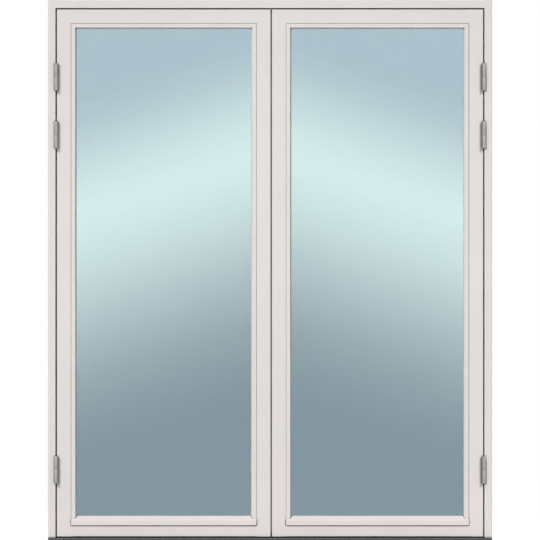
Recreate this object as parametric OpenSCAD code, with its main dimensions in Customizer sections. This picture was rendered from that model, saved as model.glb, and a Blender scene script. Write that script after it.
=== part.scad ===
// A pair of glazed french doors in their own rebated timber frame, hung to open outwards.
// Millimetres. X runs across the doorway, -Y is outside, +Z is up.
// The origin is the middle of the threshold's underside, at half of the frame's depth.

/* [Frame] */
// Width over the outside of the frame
frame_w = 1780; // [1400:10:2400]
// Height over the outside of the frame
frame_h = 2180; // [1900:10:2700]
// Depth of the frame, outside to inside
frame_d = 115; // [100:1:160]
// Face of each jamb that shows beside a leaf
jamb_face = 30.5; // [26:0.5:60]
// Face of the head that shows above the leaves
head_face = 33; // [28:0.5:60]
// How far the stops stand in from the rebate
stop_step = 17.5; // [15:0.5:30]
// Room between the back of a leaf and the stops
stop_gap = 4; // [3:0.5:8]
// Chamfer on the long edges
arris = 1.2; // [0.5:0.1:3]

/* [Threshold] */
// Height of the threshold under the leaves
threshold_h = 23.5; // [20:0.5:40]
// Height of the stop that stands up behind the leaves
threshold_step = 20; // [16:0.5:30]
// How far the nose stands out of the frame
nose_out = 18; // [8:1:40]
// Wall of the metal cover
cover_t = 2.5; // [2.5:0.5:4]
// Thickness of the cover's stop, which holds the seal
cover_stop_t = 8; // [7:0.5:12]
// Gap under the lip of the nose
nose_lift = 2; // [1:0.5:6]

/* [Leaves] */
// Thickness of a leaf
leaf_t = 56; // [54:1:70]
// Gap beside the hinges
gap_side = 5; // [4:0.5:8]
// Gap above the leaves
gap_top = 5.2; // [3:0.1:8]
// Gap under the leaves
gap_bottom = 5.6; // [3:0.1:10]
// Gap between the leaves at the outside face
gap_mid = 4.5; // [4:0.5:8]
// How far the meeting line lies to the right of the middle
meeting_shift = 5; // [-20:1:20]
// Slope of the meeting edges, so that either leaf can open by itself
meeting_bevel = 3; // [2:0.5:5]
// Face of the stiles outside the glazing beads
stile_face = 57; // [57:1:120]
// Face of the top rail above the glazing bead
top_rail_face = 55.8; // [50:0.2:120]
// Height of the bottom rail's rebate above the leaf's lower edge
bottom_rail_face = 57; // [50:1:200]
// Length of the rails' tenons
tenon_len = 28; // [20:1:30]
// Thickness of the rails' tenons
tenon_t = 14; // [10:1:16]
// Chamfer round the glass on the room side
room_chamfer = 6; // [2:1:8]

/* [Glazing] */
// Width of a bead, stile to sight line
bead_w = 21.4; // [19:0.2:30]
// Depth of a bead
bead_d = 14; // [12:1:16]
// How far a bead's inner side slopes
bead_slope = 4.2; // [2:0.2:8]
// Depth of the V groove where bead and stile meet
groove = 1.1; // [0.5:0.1:2]
// Thickness of one pane
pane_t = 4; // [3:1:6]
// Width of the sealed space between the panes
spacer_t = 16; // [12:2:18]
// Thickness of the glazing tape
tape_t = 3; // [2:0.5:4]
// Room round the sealed unit, and height of its setting blocks
glass_gap = 5; // [3:0.5:6]
// Length of a setting block
block_len = 100; // [60:5:120]

/* [Sill bead] */
// Height of the bead's top above the bottom rail's rebate
sill_bead_rise = 26; // [22:1:34]
// How far the nose stands out of the leaf
drip_out = 6.5; // [5:0.5:12]
// Height of the nose's front
drip_front_h = 22; // [14:1:30]
// How far the nose hangs below the rebate
drip_hang = 12.5; // [8:0.5:20]
// Width and depth of the drip groove under the nose
drip_groove = 2.4; // [1.5:0.1:3]

/* [Hinges] */
// Length of a hinge
hinge_len = 110; // [90:5:140]
// Radius of the barrel
barrel_r = 8.4; // [7:0.1:10]
// Distance from the leaf's face out to the pin
pin_out = 8.5; // [7.2:0.1:12]
// Radius of the pin
pin_r = 4.5; // [3:0.5:5.5]
// Running clearance round the pin
pin_clear = 0.05; // [0.02:0.01:0.1]
// Gap between the two knuckles
knuckle_gap = 0.6; // [0.3:0.1:1]
// Thickness of the plates
plate_t = 2.5; // [2:0.5:3]
// Width of the plates in the edge of leaf and jamb
plate_w = 32; // [28:1:36]
// Height of the lowest hinge's middle above the frame's foot
hinge_low = 296; // [200:1:400]
// Drop of the second hinge's middle below the frame's top
hinge_second = 541; // [480:1:700]
// Drop of the top hinge's middle below the frame's top
hinge_top = 309; // [200:1:340]

/* [Screws and fixings] */
// Radius of a hinge screw's shank
shank_r = 2; // [1.5:0.1:2.5]
// Radius of a hinge screw's head
head_r = 4; // [3.2:0.1:4.5]
// Length of a hinge screw
screw_len = 25; // [18:1:26]
// Distance between the screws along a plate
screw_pitch = 26; // [20:1:28]
// Radius of a fixing sleeve
sleeve_r = 8; // [6:0.5:8]
// Radius of the hole through a fixing sleeve
sleeve_hole_r = 4.2; // [3:0.1:5]
// Height of the lowest sleeve, and drop of the highest one
fixing_end = 150; // [120:10:250]
// Number of sleeves in each jamb
fixings = 5; // [3:1:7]

/* [Lock and bolts] */
// Height of the handle
handle_z = 1050; // [900:10:1200]
// Distance from the leaf's edge to the handle's spindle
backset = 30; // [28:1:34]
// Length of the lever
lever_len = 125; // [100:5:140]
// Radius of the lever
lever_r = 9; // [7:0.5:10]
// Radius of the rods and bolts
rod_r = 4; // [3:0.5:4]
// Distance from the leaf's edge to the rods and bolts
rod_in = 12; // [12:0.5:14]
// Travel of the rods and bolts
rod_travel = 20; // [15:1:20]
// Height of the lock case
case_h = 160; // [140:10:200]
// Thickness of the lock case
case_t = 16; // [14:1:18]
// Depth of the lock case behind the leaf's edge
case_depth = 45; // [42:1:48]
// Width of the lock's faceplate
faceplate_w = 16; // [14:1:20]
// Length of a flush bolt
bolt_len = 200; // [150:10:300]
// Height of a flush bolt's plate
bolt_plate_h = 120; // [100:5:160]

/* [Seals] */
// Distance from the leaves' outline in to the frame seal
seal_in = 4; // [3:0.5:5]
// Width of the seals
seal_w = 6; // [4:0.5:6]
// Width of a seal's root and of its kerf
root_w = 3; // [2:0.5:3]
// Depth of a seal's kerf
kerf_d = 5; // [4:0.5:6]
// Room left in front of the seals
seal_clear = 0.4; // [0.3:0.1:1]

/* [Hidden] */
$fn = 48;

// Colours
paint = [0.88, 0.86, 0.85];
steel = [0.62, 0.60, 0.59];
dark_metal = [0.37, 0.38, 0.39];
glass = [0.66, 0.74, 0.79, 0.5];
rubber = [0.12, 0.12, 0.12];
oak = [0.66, 0.52, 0.36];

// Clearances
fit = 0.1;            // glued or let-in pieces
bead_fit = 0.2;       // beads in their rebate
rod_fit = 0.1;        // rods and bolts in their guides
case_fit = 0.2;       // lock case in its mortise
sight = 0.3;          // seals and blocks inside their rebate
cut = 1;              // how far a cutting shape runs past a face

// Frame, in Y and Z
face_y = -frame_d / 2;
back_y = frame_d / 2;
stop_y = face_y + leaf_t + stop_gap;
stop_w = jamb_face + stop_step;
inner_x = frame_w / 2 - jamb_face;
stop_x = frame_w / 2 - stop_w;
threshold_stop_z = threshold_h + threshold_step;
head_z = frame_h - head_face;

// Leaves: u runs from the hinge edge to the meeting edge, and depth runs inwards from the face
pair_x = inner_x - gap_side;
leaf_z0 = threshold_h + gap_bottom;
leaf_z1 = head_z - gap_top;
left_w = pair_x + meeting_shift - gap_mid / 2;
right_w = pair_x - meeting_shift - gap_mid / 2;
mid_d = leaf_t / 2;
sight_w = stile_face + bead_w;
unit_d = bead_d + tape_t;
inner_pane_d = unit_d + pane_t + spacer_t;
lip_d = inner_pane_d + pane_t + tape_t;
top_rebate_z = leaf_z1 - top_rail_face;
sill_rebate_z = leaf_z0 + bottom_rail_face;
sill_sight_z = sill_rebate_z + sill_bead_rise;
tenon_d = (lip_d - tenon_t) / 2;
tenon_inset = 8;      // shoulder above and below a tenon
tape_w = 9;           // width of the glazing tape
tape_in = 1;          // tape's distance from the glass edge
spacer_in = 4;        // sealant outside the spacer bar
spacer_w = 7;         // height of the spacer bar

// Sill bead
drip_top_z = sill_rebate_z - drip_hang + drip_front_h;
drip_low_z = sill_rebate_z - drip_hang;
drip_slope = (sill_sight_z - drip_top_z) / (bead_d + drip_out);
drip_ease = 1.5;      // easing of the nose's edges

// Hinges
axis_u = -gap_side / 2;
hinge_z = [hinge_low, frame_h - hinge_second, frame_h - hinge_top];
knuckle_len = (hinge_len - knuckle_gap) / 2;
knuckle_wall = 6;     // blind end of a knuckle
knuckle_ease = 1;     // chamfer on the barrel's ends
pin_end = 0.2;        // room at the pin's ends
screw_steps = [-1.5, -0.5, 0.5, 1.5];
screw_near = 10;      // screws' distance in from the face, by turns
screw_far = 24;
head_sink = 0.1;
screw_head_h = plate_t - head_sink;
screw_fit = 0.05;

// Fixing sleeves stand behind the hinge plates, where a closed leaf hides them
fixing_back = 5;      // wood between a hinge plate and a sleeve
fixing_d = plate_w + sleeve_r + fixing_back;
fixing_pitch = (frame_h - 2 * fixing_end) / (fixings - 1);

// Lock and bolts
faceplate_t = 2.5;
channel_t = 2 * rod_r + 2;
rod_rest = 1.5;       // rods and bolts lie this far inside the leaf's ends
rod_hold = 45;        // length of a rod inside the lock case
rod_room = 50;        // depth of its guide there
case_back = 1;        // room between the case and the faceplate
spindle_w = 8;
spindle_start = 1;    // spindle's distance from the back of the case
spindle_room_r = 6;   // follower in the lock case
spindle_way_r = 7;    // way through the stile
neck_r = 8;
handle_plate_t = 8;
handle_plate_w = 30;
handle_plate_h = 150;
lever_out = 38;       // lever's distance from the leaf
keep_r = rod_r + 2;   // holes in the frame that take the rods
strike_hole_r = rod_r + 1.5;
keep_depth = 16;
strike_t = 1.5;
strike_len = 72;
strike_w = 24;
tab_h = 12;
tab_w = 6;
tab_rise = 45;        // tab's height above a bolt's inner end
tab_sink = 0.6;
bolt_plate_w = 20;

// Meeting seal
meeting_seal_d = 8;

/* Helpers */

// A profile of depth and height, run along X
module along_x(from, to) {
    translate([from, 0, 0])
        rotate([90, 0, 90])
            linear_extrude(to - from)
                children();
}

// An outline of width and height, run along Y
module along_y(from, to) {
    translate([0, to, 0])
        rotate([90, 0, 0])
            linear_extrude(to - from)
                children();
}

// A profile of width and depth, run along Z
module along_z(from, to) {
    translate([0, 0, from])
        linear_extrude(to - from)
            children();
}

module box(low, high) {
    translate(low)
        cube(high - low);
}

module rectangle(low, high) {
    translate(low)
        square(high - low);
}

// Both place a leaf's own frame in the doorway
module on_left() {
    translate([-pair_x, face_y, 0])
        children();
}

module on_right() {
    mirror([1, 0, 0])
        on_left()
            children();
}

/* Hinges, in a leaf's own frame */

// Places its children at each screw of a plate, with +Z running into the wood
module at_screws(z, u, into) {
    for (step = screw_steps) {
        depth = (abs(step) > 1) ? screw_near : screw_far;
        translate([u, depth, z + step * screw_pitch])
            rotate([0, into * 90, 0])
                children();
    }
}

module screw(grow) {
    translate([0, 0, head_sink - grow])
        cylinder(r1 = head_r + grow, r2 = shank_r + grow, h = screw_head_h);
    translate([0, 0, head_sink])
        cylinder(r = shank_r + grow, h = screw_len + grow);
}

// The screw, with its countersink open to the gap
module screw_room() {
    screw(screw_fit);
    translate([0, 0, -cut])
        cylinder(r = head_r + screw_fit, h = cut + head_sink);
}

// The recess for a plate of either half
module plate_room(z, u) {
    box(
        [u - fit, -cut, z - hinge_len / 2 - fit],
        [u + plate_t + fit, plate_w + fit, z + hinge_len / 2 + fit]
    );
}

module knuckle() {
    rotate_extrude()
        polygon([
            [0, 0],
            [barrel_r - knuckle_ease, 0],
            [barrel_r, knuckle_ease],
            [barrel_r, knuckle_len],
            [0, knuckle_len]
        ]);
}

module pin_bore(z) {
    reach = hinge_len / 2 - knuckle_wall;
    translate([axis_u, -pin_out, z - reach])
        cylinder(r = pin_r + pin_clear, h = 2 * reach);
}

module pin(z) {
    reach = hinge_len / 2 - knuckle_wall - pin_end;
    translate([axis_u, -pin_out, z - reach])
        cylinder(r = pin_r, h = 2 * reach);
}

// The lower knuckle, with a plate let into the jamb
module frame_half(z) {
    u = -gap_side - plate_t;
    difference() {
        union() {
            translate([axis_u, -pin_out, z - hinge_len / 2])
                knuckle();
            box([u, -pin_out, z - hinge_len / 2], [u + plate_t, plate_w, z - knuckle_gap / 2]);
            box([u, 0, z - hinge_len / 2], [u + plate_t, plate_w, z + hinge_len / 2]);
        }
        pin_bore(z);
        at_screws(z, -gap_side, -1)
            screw_room();
    }
}

// The upper knuckle, with a plate let into the leaf
module leaf_half(z) {
    difference() {
        union() {
            translate([axis_u, -pin_out, z + hinge_len / 2])
                mirror([0, 0, 1])
                    knuckle();
            box([0, -pin_out, z + knuckle_gap / 2], [plate_t, plate_w, z + hinge_len / 2]);
            box([0, 0, z - hinge_len / 2], [plate_t, plate_w, z + hinge_len / 2]);
        }
        pin_bore(z);
        at_screws(z, 0, 1)
            screw_room();
    }
}

module frame_hinge_rooms() {
    for (z = hinge_z) {
        plate_room(z, -gap_side - plate_t);
        at_screws(z, -gap_side, -1)
            screw_room();
    }
}

module leaf_hinge_rooms() {
    for (z = hinge_z) {
        plate_room(z, 0);
        at_screws(z, 0, 1)
            screw_room();
    }
}

module frame_screws() {
    for (z = hinge_z)
        at_screws(z, -gap_side, -1)
            screw(0);
}

module hinge_pins() {
    color(steel)
        for (z = hinge_z) {
            on_left()
                pin(z);
            on_right()
                pin(z);
        }
}

module frame_hinge_screws() {
    color(steel) {
        on_left()
            frame_screws();
        on_right()
            frame_screws();
    }
}

module leaf_screws() {
    color(steel)
        for (z = hinge_z)
            at_screws(z, 0, 1)
                screw(0);
}

/* Frame */

// A picture frame that follows the leaves' outline, between two distances inside it
module seal_ring(near, far, from, to) {
    along_y(from, to)
        difference() {
            rectangle([-pair_x + near, leaf_z0 + near], [pair_x - near, leaf_z1 - near]);
            rectangle([-pair_x + far, leaf_z0 + far], [pair_x - far, leaf_z1 - far]);
        }
}

module seal_kerf() {
    start = seal_in + (seal_w - root_w) / 2;
    seal_ring(start - fit, start + root_w + fit, stop_y - cut, stop_y + kerf_d + fit);
}

module frame_seal() {
    start = seal_in + (seal_w - root_w) / 2;
    color(rubber)
        union() {
            seal_ring(seal_in, seal_in + seal_w, stop_y - stop_gap + seal_clear, stop_y);
            seal_ring(start, start + root_w, stop_y, stop_y + kerf_d);
        }
}

// A square on its corner, which cuts an arris off an edge at the origin
module arris_corner() {
    rotate(45)
        square(arris * sqrt(2), center = true);
}

module jamb_profile() {
    polygon([
        [arris, face_y],
        [jamb_face, face_y],
        [jamb_face, stop_y],
        [stop_w, stop_y],
        [stop_w, back_y - arris],
        [stop_w - arris, back_y],
        [arris, back_y],
        [0, back_y - arris],
        [0, face_y + arris]
    ]);
}

module at_fixings() {
    for (i = [0 : fixings - 1])
        translate([-frame_w / 2, face_y + fixing_d, fixing_end + i * fixing_pitch])
            rotate([0, 90, 0])
                children();
}

module jamb() {
    color(paint)
        difference() {
            translate([-frame_w / 2, 0, 0])
                along_z(threshold_h, frame_h)
                    jamb_profile();
            translate([-inner_x, face_y, 0])
                along_z(threshold_h - cut, head_z)
                    arris_corner();
            seal_kerf();
            on_left()
                frame_hinge_rooms();
            at_fixings()
                translate([0, 0, -cut])
                    cylinder(r = sleeve_r + fit, h = jamb_face + 2 * cut);
        }
}

module sleeve_row() {
    at_fixings()
        difference() {
            cylinder(r = sleeve_r, h = jamb_face);
            translate([0, 0, -cut])
                cylinder(r = sleeve_hole_r, h = jamb_face + 2 * cut);
        }
}

module fixing_sleeves() {
    color(steel) {
        sleeve_row();
        mirror([1, 0, 0])
            sleeve_row();
    }
}

// Places its children at the two rods' lines
module at_rods(z) {
    on_left()
        translate([left_w - rod_in, mid_d, z])
            children();
    on_right()
        translate([right_w - rod_in, mid_d, z])
            children();
}

module strike_plate(z, grow) {
    translate([meeting_shift, face_y + mid_d, z])
        box(
            [-strike_len / 2 - grow, -strike_w / 2 - grow, 0],
            [strike_len / 2 + grow, strike_w / 2 + grow, strike_t]
        );
}

module strike_plates() {
    color(steel)
        difference() {
            union() {
                strike_plate(head_z, 0);
                strike_plate(threshold_h - strike_t, 0);
            }
            at_rods(0)
                cylinder(r = strike_hole_r, h = frame_h);
        }
}

module head() {
    color(paint)
        difference() {
            union() {
                along_x(-inner_x, inner_x)
                    polygon([
                        [face_y + arris, head_z],
                        [stop_y, head_z],
                        [stop_y, frame_h],
                        [face_y + arris, frame_h],
                        [face_y, frame_h - arris],
                        [face_y, head_z + arris]
                    ]);
                along_x(-stop_x, stop_x)
                    polygon([
                        [stop_y, head_z - stop_step],
                        [back_y - arris, head_z - stop_step],
                        [back_y, head_z - stop_step + arris],
                        [back_y, frame_h - arris],
                        [back_y - arris, frame_h],
                        [stop_y, frame_h]
                    ]);
            }
            seal_kerf();
            strike_plate(head_z - fit, fit);
            strike_plate(head_z, fit);
            at_rods(head_z)
                cylinder(r = keep_r, h = keep_depth);
        }
}

module threshold_core() {
    color(oak)
        difference() {
            union() {
                box([-frame_w / 2, face_y, 0], [frame_w / 2, back_y, threshold_h - cover_t]);
                for (side = [0, 1])
                    mirror([side, 0, 0])
                        box([stop_x, stop_y, 0], [frame_w / 2, back_y, threshold_h]);
                box([-stop_x, stop_y + cover_stop_t, 0], [stop_x, back_y, threshold_stop_z - cover_t]);
            }
            box(
                [-stop_x, stop_y - cut, threshold_h - cover_t],
                [stop_x, stop_y + cover_stop_t, threshold_stop_z]
            );
            at_rods(threshold_h - keep_depth)
                cylinder(r = keep_r, h = keep_depth);
        }
}

module threshold_cover() {
    front_y = face_y - nose_out;
    color(dark_metal)
        difference() {
            union() {
                along_x(-frame_w / 2, frame_w / 2)
                    polygon([
                        [front_y, nose_lift],
                        [front_y + cover_t, nose_lift],
                        [front_y + cover_t, threshold_h - cover_t],
                        [stop_y, threshold_h - cover_t],
                        [stop_y, threshold_h],
                        [front_y + arris, threshold_h],
                        [front_y, threshold_h - arris]
                    ]);
                along_x(-stop_x, stop_x)
                    polygon([
                        [stop_y, threshold_h - cover_t],
                        [stop_y + cover_stop_t, threshold_h - cover_t],
                        [stop_y + cover_stop_t, threshold_stop_z - cover_t],
                        [back_y, threshold_stop_z - cover_t],
                        [back_y, threshold_stop_z],
                        [stop_y + arris, threshold_stop_z],
                        [stop_y, threshold_stop_z - arris]
                    ]);
            }
            seal_kerf();
            strike_plate(threshold_h - strike_t, fit);
            strike_plate(threshold_h - fit, fit);
            at_rods(0)
                cylinder(r = keep_r, h = threshold_h + cut);
        }
}

/* Leaves, each in its own frame; w is the leaf's width */

// The bevelled meeting edge at a given depth
function edge_u(w, depth) = w - depth * tan(meeting_bevel);

// Places its children on the meeting edge, square to its slope
module on_meeting_edge(w) {
    translate([edge_u(w, mid_d), mid_d, 0])
        rotate([0, 0, meeting_bevel])
            children();
}

module tenon(w, low, high, grow) {
    box(
        [stile_face - tenon_len - grow, tenon_d - grow, low + tenon_inset - grow],
        [w - stile_face + tenon_len + grow, tenon_d + tenon_t + grow, high - tenon_inset + grow]
    );
}

module mortises(w) {
    tenon(w, top_rebate_z, leaf_z1, fit);
    tenon(w, leaf_z0, sill_rebate_z, fit);
}

// Mortises, and the grooves beside the beads
module stile_cuts(w) {
    mortises(w);
    for (u = [stile_face, w - stile_face])
        translate([u, 0, 0])
            along_z(sill_rebate_z, top_rebate_z)
                rotate(45)
                    square(groove * sqrt(2), center = true);
}

module hinge_stile(w) {
    color(paint)
        difference() {
            along_z(leaf_z0, leaf_z1)
                polygon([
                    [arris, 0],
                    [stile_face, 0],
                    [stile_face, lip_d],
                    [sight_w, lip_d],
                    [sight_w, leaf_t - room_chamfer],
                    [sight_w - room_chamfer, leaf_t],
                    [arris, leaf_t],
                    [0, leaf_t - arris],
                    [0, arris]
                ]);
            leaf_hinge_rooms();
            stile_cuts(w);
        }
}

module meeting_stile(w) {
    along_z(leaf_z0, leaf_z1)
        polygon([
            [w - stile_face, 0],
            [w - arris, 0],
            [edge_u(w, arris), arris],
            [edge_u(w, leaf_t - arris), leaf_t - arris],
            [edge_u(w, leaf_t) - arris, leaf_t],
            [w - sight_w + room_chamfer, leaf_t],
            [w - sight_w, leaf_t - room_chamfer],
            [w - sight_w, lip_d],
            [w - stile_face, lip_d]
        ]);
}

module top_rail(w) {
    sight_z = top_rebate_z - bead_w;
    color(paint)
        union() {
            along_x(stile_face, w - stile_face)
                polygon([
                    [groove, top_rebate_z],
                    [lip_d, top_rebate_z],
                    [lip_d, leaf_z1],
                    [arris, leaf_z1],
                    [0, leaf_z1 - arris],
                    [0, top_rebate_z + groove]
                ]);
            along_x(sight_w, w - sight_w)
                polygon([
                    [lip_d, sight_z],
                    [leaf_t - room_chamfer, sight_z],
                    [leaf_t, sight_z + room_chamfer],
                    [leaf_t, leaf_z1 - arris],
                    [leaf_t - arris, leaf_z1],
                    [lip_d, leaf_z1]
                ]);
            tenon(w, top_rebate_z, leaf_z1, 0);
        }
}

module bottom_rail(w) {
    color(paint)
        union() {
            along_x(stile_face, w - stile_face)
                polygon([
                    [arris, leaf_z0],
                    [lip_d, leaf_z0],
                    [lip_d, sill_rebate_z],
                    [0, sill_rebate_z],
                    [0, leaf_z0 + arris]
                ]);
            along_x(sight_w, w - sight_w)
                polygon([
                    [lip_d, leaf_z0],
                    [leaf_t - arris, leaf_z0],
                    [leaf_t, leaf_z0 + arris],
                    [leaf_t, sill_sight_z - room_chamfer],
                    [leaf_t - room_chamfer, sill_sight_z],
                    [lip_d, sill_sight_z]
                ]);
            tenon(w, leaf_z0, sill_rebate_z, 0);
        }
}

// Glass sizes follow the rebates
module pane(w, depth) {
    color(glass)
        box(
            [stile_face + glass_gap, depth, sill_rebate_z + glass_gap],
            [w - stile_face - glass_gap, depth + pane_t, top_rebate_z - glass_gap]
        );
}

// A picture frame inside the glass edge, between two distances from it
module glass_ring(w, near, far, from, to) {
    edge = stile_face + glass_gap;
    low = sill_rebate_z + glass_gap;
    high = top_rebate_z - glass_gap;
    along_y(from, to)
        difference() {
            rectangle([edge + near, low + near], [w - edge - near, high - near]);
            rectangle([edge + far, low + far], [w - edge - far, high - far]);
        }
}

module spacer_bar(w) {
    color(steel)
        glass_ring(w, spacer_in, spacer_in + spacer_w, unit_d + pane_t, inner_pane_d);
}

module glazing_tape(w) {
    color(rubber) {
        glass_ring(w, tape_in, tape_in + tape_w, bead_d, unit_d);
        glass_ring(w, tape_in, tape_in + tape_w, lip_d - tape_t, lip_d);
    }
}

module setting_blocks(w) {
    quarter = (w - 2 * stile_face) / 4;
    rise = (top_rebate_z - sill_rebate_z) / 8;
    color(rubber) {
        for (u = [stile_face + quarter, w - stile_face - quarter])
            box(
                [u - block_len / 2, unit_d, sill_rebate_z],
                [u + block_len / 2, lip_d - tape_t, sill_rebate_z + glass_gap]
            );
        for (u = [stile_face, w - stile_face - glass_gap])
            for (z = [sill_rebate_z + rise, top_rebate_z - rise])
                box([u, unit_d, z - block_len / 2], [u + glass_gap, lip_d - tape_t, z + block_len / 2]);
    }
}

// The corner that the mitre of a hinge side bead takes off
module mitre_cut(grow) {
    corner = stile_face;
    along_y(-cut, bead_d + cut)
        polygon([
            [corner - cut, top_rebate_z + cut - grow],
            [corner + bead_w + cut, top_rebate_z - bead_w - cut - grow],
            [corner + bead_w + cut, top_rebate_z + 2 * cut],
            [corner - cut, top_rebate_z + 2 * cut]
        ]);
}

// What lies under the sill bead's sloping top
module under_slope(w) {
    along_x(0, w)
        polygon([
            [-cut, sill_rebate_z - cut],
            [bead_d + cut, sill_rebate_z - cut],
            [bead_d + cut, sill_sight_z + cut * drip_slope + fit],
            [-cut, sill_sight_z - (bead_d + cut) * drip_slope + fit]
        ]);
}

module side_bead(w) {
    near = stile_face + bead_fit;
    difference() {
        along_z(sill_rebate_z, top_rebate_z + cut / 2)
            polygon([
                [near + groove, 0],
                [sight_w - bead_slope - arris, 0],
                [sight_w - bead_slope, arris],
                [sight_w, bead_d],
                [near, bead_d],
                [near, groove]
            ]);
        mitre_cut(fit);
        under_slope(w);
    }
}

module hinge_side_bead(w) {
    color(paint)
        side_bead(w);
}

module meeting_side_bead(w) {
    color(paint)
        translate([w, 0, 0])
            mirror([1, 0, 0])
                side_bead(w);
}

module top_bead(w) {
    high = top_rebate_z - bead_fit;
    low = top_rebate_z - bead_w;
    color(paint)
        difference() {
            along_x(stile_face, w - stile_face)
                polygon([
                    [0, high - groove],
                    [groove, high],
                    [bead_d, high],
                    [bead_d, low],
                    [arris, low + bead_slope],
                    [0, low + bead_slope + arris]
                ]);
            top_bead_end();
            translate([w, 0, 0])
                mirror([1, 0, 0])
                    top_bead_end();
        }
}

// The side bead's half of the corner, taken off the top bead
module top_bead_end() {
    along_y(-cut, bead_d + cut)
        polygon([
            [stile_face - cut, top_rebate_z + cut],
            [sight_w + cut, top_rebate_z - bead_w - cut],
            [stile_face - cut, top_rebate_z - bead_w - cut]
        ]);
}

module sill_bead(w) {
    back = -fit;
    groove_at = -drip_out / 2 - drip_groove / 2;
    color(paint)
        along_x(stile_face + bead_fit, w - stile_face - bead_fit)
            polygon([
                [bead_d, sill_sight_z],
                [-drip_out + drip_ease, drip_top_z + drip_ease * drip_slope],
                [-drip_out, drip_top_z - drip_ease],
                [-drip_out, drip_low_z + drip_ease],
                [-drip_out + drip_ease, drip_low_z],
                [groove_at, drip_low_z],
                [groove_at, drip_low_z + drip_groove],
                [groove_at + drip_groove, drip_low_z + drip_groove],
                [groove_at + drip_groove, drip_low_z],
                [back, drip_low_z],
                [back, sill_rebate_z + fit],
                [bead_d, sill_rebate_z + fit]
            ]);
}

/* Lock, handle and meeting seal, on the left leaf */

module rod_line(z0, z1, r) {
    translate([left_w - rod_in, mid_d, z0])
        cylinder(r = r, h = z1 - z0);
}

module case_box(grow) {
    case_front = edge_u(left_w, mid_d) - faceplate_t - case_back;
    box(
        [left_w - case_depth - grow, mid_d - case_t / 2 - grow, handle_z - case_h / 2 - grow],
        [case_front + grow, mid_d + case_t / 2 + grow, handle_z + case_h / 2 + grow]
    );
}

module spindle_line(r, from, to) {
    translate([left_w - backset, to, handle_z])
        rotate([90, 0, 0])
            cylinder(r = r, h = to - from);
}

module faceplate_box(grow, z0, z1) {
    on_meeting_edge(left_w)
        box([-faceplate_t - grow, -faceplate_w / 2 - grow, z0], [grow, faceplate_w / 2 + grow, z1]);
}

module meeting_seal_root(grow) {
    middle = meeting_seal_d + seal_w / 2;
    box(
        [edge_u(left_w, middle) - kerf_d - grow, middle - root_w / 2 - grow, leaf_z0 - grow],
        [left_w, middle + root_w / 2 + grow, leaf_z1 + grow]
    );
}

module left_meeting_stile() {
    channel = rod_in + channel_t / 2;
    color(paint)
        difference() {
            meeting_stile(left_w);
            stile_cuts(left_w);
            box(
                [left_w - channel, mid_d - channel_t / 2, leaf_z0 - cut],
                [left_w, mid_d + channel_t / 2, leaf_z1 + cut]
            );
            faceplate_box(fit, leaf_z0 - cut, leaf_z1 + cut);
            case_box(case_fit);
            box(
                [left_w - channel, mid_d - case_t / 2 - case_fit, handle_z - case_h / 2 - case_fit],
                [left_w, mid_d + case_t / 2 + case_fit, handle_z + case_h / 2 + case_fit]
            );
            spindle_line(spindle_way_r, mid_d, leaf_t + cut);
            meeting_seal_root(fit);
        }
}

module meeting_seal() {
    reach = left_w + gap_mid - seal_clear;
    color(rubber)
        union() {
            meeting_seal_root(0);
            box(
                [edge_u(left_w, meeting_seal_d), meeting_seal_d, leaf_z0],
                [reach, meeting_seal_d + seal_w, leaf_z1]
            );
        }
}

module lock_case() {
    top = handle_z + case_h / 2;
    bottom = handle_z - case_h / 2;
    color(steel)
        difference() {
            case_box(0);
            rod_line(top - rod_room, top + cut, rod_r + rod_fit);
            rod_line(bottom - cut, bottom + rod_room, rod_r + rod_fit);
            spindle_line(spindle_room_r, 0, leaf_t);
        }
}

module lock_faceplate() {
    color(steel)
        faceplate_box(0, leaf_z0, leaf_z1);
}

module upper_rod() {
    color(steel)
        rod_line(handle_z + case_h / 2 - rod_hold, leaf_z1 - rod_rest, rod_r);
}

module lower_rod() {
    color(steel)
        rod_line(leaf_z0 + rod_rest, handle_z - case_h / 2 + rod_hold, rod_r);
}

module handle_plate() {
    u = left_w - backset;
    color(steel)
        difference() {
            box(
                [u - handle_plate_w / 2, leaf_t, handle_z - handle_plate_h / 2],
                [u + handle_plate_w / 2, leaf_t + handle_plate_t, handle_z + handle_plate_h / 2]
            );
            spindle_line(neck_r + pin_clear, leaf_t - cut, leaf_t + handle_plate_t + cut);
        }
}

module lever_handle() {
    u = left_w - backset;
    depth = leaf_t + lever_out;
    half = spindle_w / 2;
    color(steel)
        union() {
            box(
                [u - half, mid_d - case_t / 2 + spindle_start, handle_z - half],
                [u + half, leaf_t + cut, handle_z + half]
            );
            spindle_line(neck_r, leaf_t + cut, depth);
            translate([u, depth, handle_z])
                sphere(r = lever_r);
            translate([u, depth, handle_z - lever_len])
                cylinder(r = lever_r, h = lever_len);
            translate([u, depth, handle_z - lever_len])
                sphere(r = lever_r);
        }
}

/* Flush bolts, on the right leaf */

// Both bolts have the same parts, turned end for end: rise runs inwards from the leaf's end
module from_top() {
    translate([0, 0, leaf_z1])
        mirror([0, 0, 1])
            children();
}

module from_bottom() {
    translate([0, 0, leaf_z0])
        children();
}

tab_rise_end = rod_rest + bolt_len - tab_rise;

module flush_bolt() {
    color(steel)
        union() {
            translate([right_w - rod_in, mid_d, rod_rest])
                cylinder(r = rod_r, h = bolt_len);
            box(
                [right_w - rod_in, mid_d - tab_w / 2, tab_rise_end - tab_h],
                [edge_u(right_w, mid_d) - tab_sink, mid_d + tab_w / 2, tab_rise_end]
            );
        }
}

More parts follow.
